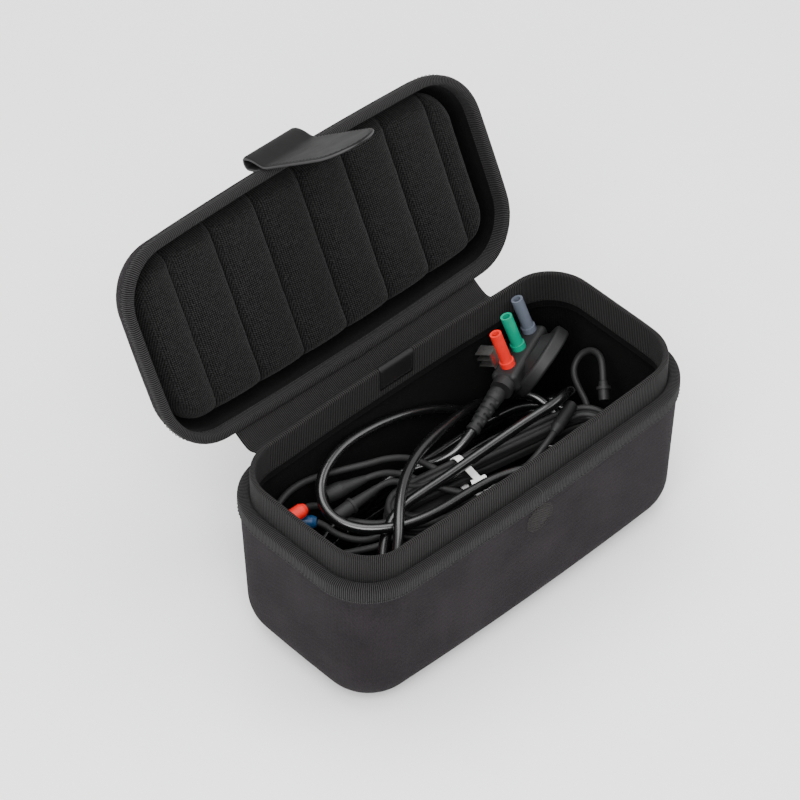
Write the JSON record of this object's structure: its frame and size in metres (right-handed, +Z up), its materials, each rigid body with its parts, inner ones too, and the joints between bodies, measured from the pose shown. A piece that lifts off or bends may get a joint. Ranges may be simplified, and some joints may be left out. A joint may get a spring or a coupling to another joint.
{
  "type": "carrying case with test leads",
  "caption": "Rounded semi-rigid fabric case, hinged lid with quilted pad and fold-over strap, holding a mains cord, a round socket adapter with sleeves and a tied hank of test leads.",
  "frame": {"origin": "centre of the base's flat bottom", "axes": "+X along the case, -Y is its front (the magnet side), +Z up"},
  "size_m": [0.3, 0.2523, 0.3025],
  "materials": {
    "base_fabric": "fine woven textile laminated on moulded foam",
    "lid_fabric": "fine woven textile laminated on moulded foam",
    "lining_knit": "soft knit lining",
    "ribbed_tape": "ribbed grosgrain tape",
    "collar_weave": "ribbed stretch fabric",
    "pad_knit": "channel-quilted knit",
    "web_tape": "woven tape",
    "strap_leather": "smooth synthetic leather",
    "patch_leather": "smooth synthetic leather",
    "stiffener": "sheet board, covered",
    "magnet": "plated disc, covered",
    "cord_pvc": "glossy PVC sheath",
    "lead_silicone": "matte insulation",
    "boot_rubber": "moulded matte",
    "adapter_plastic": "moulded, fine texture",
    "plug_black": "moulded",
    "red_plastic": "moulded",
    "green_plastic": "moulded",
    "grey_plastic": "moulded",
    "blue_plastic": "moulded",
    "contact_metal": "plated",
    "tie_white": "film tie"
  },
  "bodies": {
    "base": {"adapter_block": "adapter_plastic", "base_binding": "ribbed_tape", "base_lining": "lining_knit", "base_shell": "base_fabric", "black_plug_front": "plug_black", "black_plug_rear": "plug_black", "black_plug_right": "plug_black", "blue_plug": "blue_plastic", "collar_board": "stiffener", "collar_cover": "collar_weave", "cord_end_housing": "plug_black", "front_magnet": "magnet", "hank_tie": "tie_white", "hinge_patch": "patch_leather", "hinge_web_base": "web_tape", "lead_black_front": "lead_silicone", "lead_black_rear": "lead_silicone", "lead_blue": "lead_silicone", "lead_hank": "lead_silicone", "lead_loop": "lead_silicone", "lead_probe": "lead_silicone", "lead_red": "lead_silicone", "lead_right": "lead_silicone", "magnet_patch": "base_fabric", "mains_cord_arch": "cord_pvc", "mains_cord_boot": "boot_rubber", "mains_cord_coil": "cord_pvc", "mains_cord_exit": "cord_pvc", "mains_cord_long_loop": "cord_pvc", "mains_cord_upper": "cord_pvc", "red_plug": "red_plastic", "sleeve_contacts": "contact_metal", "sleeve_green": "green_plastic", "sleeve_grey": "grey_plastic", "sleeve_red": "red_plastic", "socket_contacts": "contact_metal", "socket_flange": "adapter_plastic", "spring_clip": "contact_metal", "test_probe": "plug_black"},
    "lid": {"lid_shell": "lid_fabric", "lid_lining": "lining_knit", "lid_binding": "ribbed_tape", "binding_join": "ribbed_tape", "lid_pad": "pad_knit", "hinge_web_lid": "web_tape", "strap_loop": "strap_leather"},
    "strap": {"strap_outer": "strap_leather", "strap_inner": "strap_leather", "strap_plate": "magnet"}
  },
  "joints": [
    {"name": "lid_hinge", "type": "hinge", "parent": "base", "child": "lid", "pos_m": [0, 0.0832, 0.1109], "axis": [1, 0, 0], "range_deg": [0, 115.9]},
    {"name": "strap_fold", "type": "hinge", "parent": "lid", "child": "strap", "pos_m": [0, 0.15901, 0.24984], "axis": [1, 0, 0], "range_deg": [-95, 12], "stiffness_Nm_per_rad": 0.05}
  ]
}
